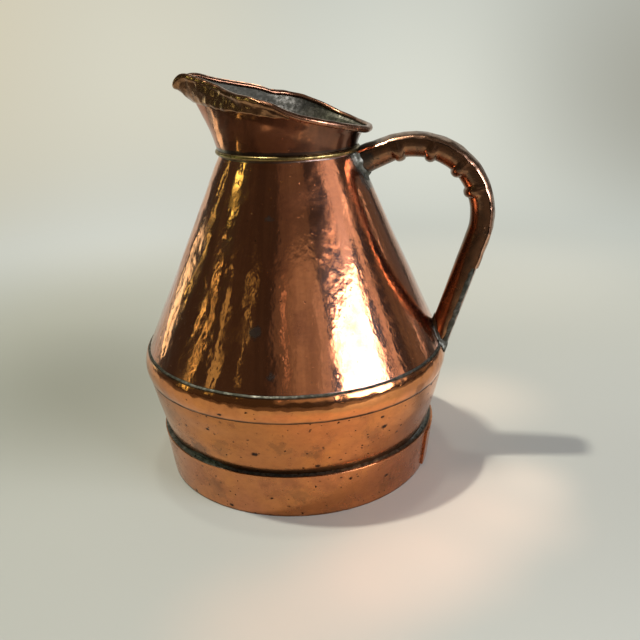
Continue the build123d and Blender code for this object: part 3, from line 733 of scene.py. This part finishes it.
def smooth_line(points, per_span):
    """A smooth line through points in space."""
    points = [Vector(p) for p in points]
    ends = [points[0] * 2 - points[1]] + points + [points[-1] * 2 - points[-2]]
    line = []
    for a, b, c, d in zip(ends, ends[1:], ends[2:], ends[3:]):
        for i in range(per_span):
            t = i / per_span
            line.append(0.5 * ((2 * b) + (c - a) * t + (2 * a - 5 * b + 4 * c - d) * t ** 2
                               + (3 * b - a - 3 * c + d) * t ** 3))
    return line + [points[-1]]


def even_line(points, count):
    """The same line with its points evenly spaced."""
    points = np.asarray([tuple(p) for p in points])
    run = np.concatenate([[0], np.cumsum(np.linalg.norm(np.diff(points, axis=0), axis=1))])
    wanted = np.linspace(0, run[-1], count)
    return np.stack([np.interp(wanted, run, points[:, k]) for k in range(3)], axis=1)


def rim_height(x):
    """The rim climbs evenly towards the spout, and its beak droops."""
    return rim_back_height + rim_rise * (rim_back - x) - 0.055 * max(0, beak_start - x) ** 2


def bend_height(x):
    """Where the neck turns outwards, low at the back and high in the spout."""
    return bend_back_height + (bend_back - x) * bend_rise


def both_sides(points, height):
    """A closed line from points on the far side, their mirror image and a height at each x."""
    half = even_line(smooth_line([(x, y, height(x)) for x, y in points], 12), 181)
    return np.concatenate([half, half[1:-1][::-1] * np.array([1, -1, 1])])


near_lift = ((-80, -60, -46, -34, -24, -15, -5, 3, 10, 21, 38, 54, 64),
             (0, 0.8, 0.6, 0.1, 0.8, 2.2, 3, 2.6, 1.3, 0.2, 0.7, 0.6, -0.6))
far_lift = ((-80, -60, -45, -34, -26, -22, -17, -10, 5, 20, 37, 53, 64),
            (0, -0.4, 0, 0.3, -0.5, -1.1, -0.5, 0.6, 1.4, 0.2, -2.2, -2.4, -0.6))
rim_line = both_sides(rim_points, rim_height)
bend_line = both_sides(bend_points, bend_height)
neck_columns = len(rim_line)
for j in range(neck_columns):
    x, y, _ = rim_line[j]
    rim_line[j] += (0.3 * drift(x, y, 0, 14, 1.1), 0.3 * drift(x, y, 0, 14, 5.7),
                    0.35 * drift(x, y, 0, 13, 9.4))
    if y < 0:
        rim_line[j][2] += np.interp(x, *near_lift)
        rim_line[j][1] += 1.2 * math.exp(-((x + 52) / 12) ** 2)
    else:
        rim_line[j][2] += np.interp(x, *far_lift)
        rim_line[j][1] -= 2 * math.exp(-((x + 62) / 12) ** 2)
neck_foot = (55.3, 271.75)
bend_share = 0.62
bead = 2.72
bead_rows = 21
bead_start = -68
bead_span = 316
wire_radius = 1.5
wall_rows = 26
neck_rings = [[None] * neck_columns for _ in range(2 * wall_rows + bead_rows)]
neck_outside = []
wire_rings = []
for j in range(neck_columns):
    share = 2 * math.pi * j / neck_columns
    foot = Vector((neck_foot[0] * math.cos(share), neck_foot[0] * math.sin(share), neck_foot[1]))
    if foot.x < 0:
        foot.x *= 1 + 0.018 * (foot.x / neck_foot[0]) ** 2
    rim = Vector(rim_line[j])
    bend = Vector(bend_line[j])
    along = (Vector(rim_line[(j + 1) % neck_columns]) - Vector(rim_line[j - 1])).normalized()
    out = Vector((along.y, -along.x, 0)).normalized()
    wall = []
    for i in range(wall_rows):
        t = i / (wall_rows - 1)
        low = foot.lerp(bend, min(1, t / bend_share))
        high = bend.lerp(rim, max(0, (t - bend_share) / (1 - bend_share)))
        soft = 0.5 - 0.5 * math.cos(math.pi * held((t - 0.5) / 0.24))
        point = low.lerp(high, soft)
        hollow = 0.5 * math.sin(math.pi * min(1, t / bend_share))
        ripple = 0.3 * drift(*point, 15, 3.9) + 0.12 * drift(*point, 6, 7.3)
        wall.append(point + out * (ripple - hollow) * min(1, t * 6) * min(1, (1 - t) * 8))
    top = (wall[-1] - wall[-4]).normalized()
    side = (out - top * out.dot(top)).normalized()
    size = bead * (1 + 0.05 * drift(*rim, 7, 2)) * (0.88 if rim.y > 0 else 1)
    neck_outside.append((wall, side, top, rim, size))
    wire_rings.append([tuple(rim + (side * math.cos(a) + top * math.sin(a)) * wire_radius)
                       for a in np.linspace(0, 2 * math.pi, 12, endpoint=False)])
    for i, point in enumerate(wall):
        tucked = point - top * (1.2 if i == wall_rows - 1 else 0)
        neck_rings[i][j] = tuple(tucked + side * (sheet_thick / 2))
        neck_rings[-1 - i][j] = tuple(tucked - side * (sheet_thick / 2))
    for i in range(bead_rows):
        angle = math.radians(bead_start + bead_span * i / (bead_rows - 1))
        rolled = rim + side * size * math.cos(angle) + top * size * math.sin(angle)
        neck_rings[wall_rows + i][j] = tuple(rolled)
neck_copper = metal(
    "neck_copper", (0.58, 0.19, 0.07), (0.44, 0.135, 0.052), (0.17, 0.05, 0.02), 31, (0.08, 0.28),
    patch=26, stretch=2.2, level=0.55, stained=0.65, marks=(9, 0.02), pits=(4, 0.15), film=(5, 0.3),
    ripple=(6, 0.05), coat=0.4, dirt_and_shade_colour=(0.045, 0.033, 0.022),
    # The band just above the ring is painted shade where the neck's edge meets the ring. The broad patch on
    # the right front only darkens it.
    dirt_and_shade=[((0, 0, 272), 0, 3.2, 0.25, 0.92), ((56, 0, 278), 1, 15, 0.4, 0.8),
          ((42, -38, 284), 1, 38, 0.5, 0.6)])
inside_tin = metal(
    "inside_tin", (0.5, 0.47, 0.38), (0.29, 0.285, 0.23), (0.075, 0.072, 0.05), 37, (0.42, 0.68), patch=4,
    level=0.46, marks=(3, 0.14), pits=(3, 0.3), film=(2.5, 0.4), dirt_and_shade_colour=(0.09, 0.088, 0.07),
    dirt_and_shade=[((-52, 36, 316), 1, 50, 0.4, 0.75)])
rim_patina = metal(
    "rim_patina", (0.5, 0.235, 0.13), (0.32, 0.145, 0.075), (0.12, 0.055, 0.03), 41, (0.2, 0.42),
    patch=14, level=0.52, marks=(5, 0.06), pits=(3, 0.2), coat=0.3)
bead_end = wall_rows + bead_rows - 2
build("neck_collar", neck_rings, [neck_copper, inside_tin, rim_patina],
      bands=[(wall_rows - 1, bead_end, 2), (bead_end, len(neck_rings) - 1, 1)])
iron = metal(
    "iron_wire", (0.2, 0.19, 0.18), (0.14, 0.12, 0.1), (0.05, 0.04, 0.03), 43, (0.4, 0.6), patch=8)
build("rim_wire", wire_rings, [iron])

# Lip strip. A hammered copper strip soldered round the outside of the spout, under the rolled
# edge. Its lower edge is ragged, and it thins out to nothing towards the back.
lip_low = 299
lip_end = 14
lip_rows = 26
lip_rings = []
for wall, side, top, rim, size in neck_outside:
    if rim.x >= lip_end:
        continue
    heights = np.array([p.z for p in wall])
    fade = min(1, (lip_end - rim.x) / 26)
    low = lip_low + 0.085 * max(0, 10 - rim.x) + 1.3 * drift(rim.x, rim.y, 0, 9, 4.4)
    high = heights[wall_rows - 4]
    low = min(low, high - 0.8)
    outer = []
    inner = []
    for i, height in enumerate(np.linspace(low, high, 8)):
        spot = Vector([np.interp(height, heights, [p[k] for p in wall]) for k in range(3)])
        outer.append(spot + side * (1.1 if i == 0 else 1.9 + 0.09 * i))
        inner.append(spot + side * 0.62)
    turned = -30 + 105 * fade
    for degrees in np.linspace(-38, turned, 7):
        angle = math.radians(degrees)
        way = side * math.cos(angle) + top * math.sin(angle)
        thick = 0.95 * (1 if degrees < turned - 1 else 0.45) * (0.3 + 0.7 * fade)
        outer.append(rim + way * (size + thick))
        inner.append(rim + way * (size - 0.15))
    outer = even_line(outer, lip_rows)
    for i in range(1, lip_rows - 1):
        spot = outer[i]
        lump = 0.55 * (dishes(*spot, 7, 4) - 0.35) + 0.22 * drift(*spot, 5, 3.3)
        outer[i] = spot + np.array(side) * lump * min(1, i / 3, (lip_rows - 1 - i) / 3)
    lip_rings.append(np.concatenate([outer, even_line(inner, lip_rows)[::-1]]))
lip_copper = metal(
    "lip_copper", (0.52, 0.25, 0.11), (0.34, 0.16, 0.075), (0.14, 0.062, 0.03), 47, (0.13, 0.34),
    patch=12, level=0.52, marks=(5, 0.11), pits=(3, 0.2), coat=0.2)
build("lip_band", lip_rings, [lip_copper], closed=False)

# Handle channel. The hand side of the hollow handle: copper bent to a deep rounded channel,
# with four ridges raised across it for the fingers. A dark line painted along the top of both its
# sides stands for the shade in the gap under the straps' edges.
seam_start = (54.6, 267.2)
bend_centre = (100.5, 217.5)
bend_radius = 61.5
slope = math.radians(18)
bend_turn = math.radians(126)
top_length = ((bend_centre[0] - bend_radius * math.sin(slope)) - seam_start[0]) / math.cos(slope)
bend_length = bend_radius * bend_turn
leg_length = 100.2
leg_start = (bend_centre[0] + bend_radius * math.cos(slope), bend_centre[1] - bend_radius * math.sin(slope))
handle_length = top_length + bend_length + leg_length
body_clear = 0.12
channel_depth = 16
half_width = 12.25
knee = half_width - channel_depth


def seam_line(run):
    """The handle's seam line at a distance from the neck: its place and its outward direction."""
    if run < top_length:
        out = (-math.sin(slope), math.cos(slope))
        return (seam_start[0] + run * math.cos(slope), seam_start[1] + run * math.sin(slope)), out
    turned = (run - top_length) / bend_radius
    if turned < bend_turn:
        angle = math.radians(90) + slope - turned
        out = (math.cos(angle), math.sin(angle))
        return (bend_centre[0] + bend_radius * out[0], bend_centre[1] + bend_radius * out[1]), out
    rest = run - top_length - bend_length
    out = (math.cos(slope), -math.sin(slope))
    return (leg_start[0] - rest * math.sin(slope), leg_start[1] - rest * math.cos(slope)), out


def body_radius(height):
    """Outer radius of the jug at a height, with the ring and the neck above it."""
    if height > 268:
        return 58.3
    if height > 109.2:
        return cone_top[0] + (cone_top[1] - height) * cone_slope
    return roll_centre[0] + math.sqrt(max(0, roll_radius ** 2 - (height - roll_centre[1]) ** 2))


def handle_point(run, across, out):
    """A point of the handle: distance down it, sideways, and outwards from the seam line."""
    spot, away = seam_line(run)
    return Vector((spot[0] + away[0] * out, across, spot[1] + away[1] * out))


def handle_ends(across, out):
    """Where a line along the handle leaves the neck, and where it meets the shoulder."""
    ends = []
    for inside, outside in ((-12, 40), (handle_length + 12, handle_length - 45)):
        for _ in range(24):
            middle = (inside + outside) / 2
            point = handle_point(middle, across, out)
            if math.hypot(point.x, point.y) > body_radius(point.z) + body_clear:
                outside = middle
            else:
                inside = middle
        ends.append(outside)
    return ends


def sweep(outline, stations, shift, last=None):
    """Rings along the handle for a closed outline of (across, out) points."""
    ends = [handle_ends(across, out) for across, out in outline]
    rings = []
    for i in range(stations):
        ring = []
        for (across, out), (first, final) in zip(outline, ends):
            run = first + ((final if last is None else last) - first) * i / (stations - 1)
            wide, tall = shift(run, across, out)
            ring.append(tuple(handle_point(run, across + wide, out + tall)))
        rings.append(ring)
    return rings


def channel_side(grow, count):
    """The channel's rounded line from one seam, round the hand side, to the other."""
    wide = half_width + grow
    line = [(wide, 0), (wide, -1.1)] + steps((wide, -1.1), (wide, knee), 4)[1:-1]
    line += [(wide * math.cos(math.radians(a)), knee + wide * math.sin(math.radians(a)))
             for a in np.linspace(0, -180, count)]
    return line + steps((-wide, knee), (-wide, -1.1), 4)[1:] + [(-wide, 0)]


ridge_angles = (102.5, 74, 45, 22)
ridge_places = [top_length + bend_radius * (math.radians(108) - math.radians(a)) for a in ridge_angles]
ridge_strengths = (1, 1.1, 1, 1)


def channel_shift(run, across, out):
    """Deeper near the neck, with ridges across the hand side and hammer marks all over."""
    deep = 4 * max(0, 1 - run / 36) ** 1.3
    lower = max(0, -out) / channel_depth
    wide = 0.25 * drift(across, out, run, 12, 2.2)
    tall = -deep * lower + 0.25 * drift(across + 9, out, run, 14, 6.6)
    rise = 0
    low_side = held((lower - 0.3) / 0.45)
    for ridge, strength in zip(ridge_places, ridge_strengths):
        away = run - ridge - 0.06 * across
        rise += strength * 2.5 * max(0, 1 - (away / 5.4) ** 2) ** 0.55 * low_side
        rise += strength * 0.5 * math.exp(-(away / 1.6) ** 2) * min(1, lower * 5) * (1 - low_side)
    below = max(0, knee - out)
    wide += rise * across / (math.hypot(across, below) or 1)
    tall -= rise * below / (channel_depth + knee)
    return wide, tall


channel_outer = channel_side(0, 30)
channel_inner = channel_side(-sheet_thick, 30)
handle_copper = metal(
    "handle_copper", (0.47, 0.22, 0.1), (0.35, 0.155, 0.07), (0.13, 0.056, 0.025), 53, (0.14, 0.36),
    patch=16, level=0.55, stained=0.6, marks=(7, 0.04), pits=(3.5, 0.2), coat=0.25,
    dirt_and_shade_colour=(0.05, 0.048, 0.038),
    dirt_and_shade=[((56, 0, 262), 1, 26, 0.5, 0.9), ((128, 0, 106), 1, 17, 0.5, 0.9),
          ((100, 0, 217), 1, 68, 0.25, 0.75)])
# Painted shade: a near black finish for the strip along the top of each side, under the straps.
painted_gap_shade = metal(
    "painted_gap_shade", (0.05, 0.035, 0.025), (0.03, 0.025, 0.02), (0.015, 0.013, 0.01), 61, (0.4, 0.6), patch=6,
    marks=(5, 0.05))
channel_rings = sweep(channel_outer + channel_inner[::-1], stations=300, shift=channel_shift)
build("handle_channel", channel_rings, [handle_copper, painted_gap_shade], closed=False,
      seams=(0, len(channel_outer) - 2))

# Handle back. A strap that closes the channel from neck to shoulder, soldered along both its
# edges. It is crowned across, and shows below the end of the outer strap.
back_rise = 2.4
back_round = (half_width ** 2 + back_rise ** 2) / (2 * back_rise)


def crown(across, lift):
    """Height of a crowned strap over the seam line."""
    return back_rise - back_round + math.sqrt((back_round + lift) ** 2 - across ** 2)


def strap_outline(wide, low, high, columns, bevel=0):
    """A strap's closed section between two lifts, with its upper edges worn back by the bevel."""
    upper = np.linspace(bevel - wide, wide - bevel, columns)
    lower = np.linspace(wide, -wide, columns)
    return [(a, crown(a, high)) for a in upper] + [(a, crown(a, low)) for a in lower]


def back_shift(run, across, out):
    return 0.2 * drift(across, out, run, 10, 1.5), 0.18 * drift(across, 0, run, 11, 3.5)


back_rings = sweep(strap_outline(half_width - 0.05, -1.1, 0, 17), stations=200, shift=back_shift)
build("handle_back", back_rings, [handle_copper], closed=False)

# Outer strap. A second strap laid over the upper half of the handle to stiffen it. Its edges
# are ragged and bright from wear, and its lower end stands off a little.
strap_last = top_length + bend_length + 24
strap_columns = 25


def strap_shift(run, across, out):
    """Hammered and wavy, with a free end that lifts."""
    edge = abs(across) / half_width
    free = max(0, (run - strap_last + 20) / 20)
    wide = 0.55 * drift(across * 0.2, 4, run, 6, 2.4) * edge ** 3 * (1 if across > 0 else -1)
    tall = 0.35 * drift(across, 0, run, 9, 7.5) + 0.35 * (dishes(across, 0, run, 8, 6) - 0.4)
    tall += 0.3 * free ** 2 - 0.3 + 0.3 * drift(across * 0.1, 0, run, 5, 8.5) * edge
    return wide, tall


strap_copper = metal(
    "strap_copper", (0.5, 0.28, 0.165), (0.34, 0.185, 0.11), (0.12, 0.06, 0.035), 59, (0.22, 0.46),
    patch=13, level=0.53, marks=(6, 0.06), pits=(3.5, 0.2), coat=0.2, dirt_and_shade_colour=(0.05, 0.048, 0.038),
    dirt_and_shade=[((56, 0, 270), 1, 26, 0.5, 0.85)])
worn_edge = metal(
    "worn_edge", (0.8, 0.46, 0.3), (0.6, 0.32, 0.19), (0.22, 0.11, 0.06), 67, (0.18, 0.4), patch=7,
    marks=(4, 0.05))
strap_section = strap_outline(half_width + 1, 0.2, 1.3, strap_columns, bevel=1)
strap_rings = sweep(strap_section, stations=190, shift=strap_shift, last=strap_last)
build("handle_strap", strap_rings, [strap_copper, worn_edge], closed=False,
      seams=(strap_columns - 1, 2 * strap_columns - 1))


# Solder of the handle's ends. Grey metal was run round both joints, in a thick lumpy collar
# that spreads over the cone on one side and up the handle on the other.
def end_collar(name, end_at, climb, spread, seed):
    """A collar of solder round the handle's end at the neck, 0, or at the shoulder, 1."""
    outline = channel_side(0.1, 26)
    outline += [(a, crown(a, 0.2)) for a in np.linspace(-half_width, half_width, 14)[1:-1]]
    rings = []
    for across, out in outline:
        end = handle_ends(across, out)[end_at]
        wide, tall = (0, 0) if end_at else channel_shift(end, across, out)
        corner = handle_point(end, across + wide, out + tall)
        corner.z = min(corner.z, 267.4)
        lump = 0.6 + 0.5 * drift(*corner, 6, seed)
        up_end = end + (-climb if end_at else climb) * lump
        on_handle = handle_point(up_end, across + wide, out + tall)
        away = (on_handle - handle_point(up_end, 0, -5)).normalized()
        handle_side = on_handle + away * 0.25
        foot = corner + (corner - handle_point(end, 0, -5)).normalized() * spread * lump
        foot.z = min(foot.z, 267)
        grow = (body_radius(foot.z) + 0.2) / math.hypot(foot.x, foot.y)
        foot.x *= grow
        foot.y *= grow
        middle = (handle_side + foot) / 2 * 0.55 + corner * 0.45 + away * 0.5 * lump
        rings.append([tuple(point) for point in (
            handle_side, (handle_side + middle) / 2 + away * 0.25, middle, (middle + foot) / 2, foot,
            corner - away * 0.8)])
    build(name, rings, [solder])


end_collar("handle_top_solder", 0, 7, 9, 2)
end_collar("handle_foot_solder", 1, 9, 5, 5)

# Solder of the handle's seams. A grey bead down both sides of the leg, from the outer strap's
# end to the shoulder, flattened and smeared with the iron.
bead_stations = 90
for side, name in ((1, "handle_seam_solder"), (-1, "handle_seam_solder_far")):
    first = strap_last + 0.6
    final = handle_ends(side * half_width, 0)[1] - 0.5
    rings = []
    for i in range(bead_stations):
        run = first + (final - first) * i / (bead_stations - 1)
        lump = 1 + 0.5 * drift(side, 0, run, 5, 3)
        lump *= min(1, 0.35 + i / 10, 0.35 + (bead_stations - 1 - i) / 6)
        rings.append([tuple(handle_point(run, side * (half_width + 0.02 + 0.34 * lump * math.cos(angle)),
                                         -1.9 + 1.9 * lump * math.sin(angle)))
                      for angle in np.linspace(0, 2 * math.pi, 12, endpoint=False)])
    build(name, rings, [solder], closed=False, node="handle_seam_solder")
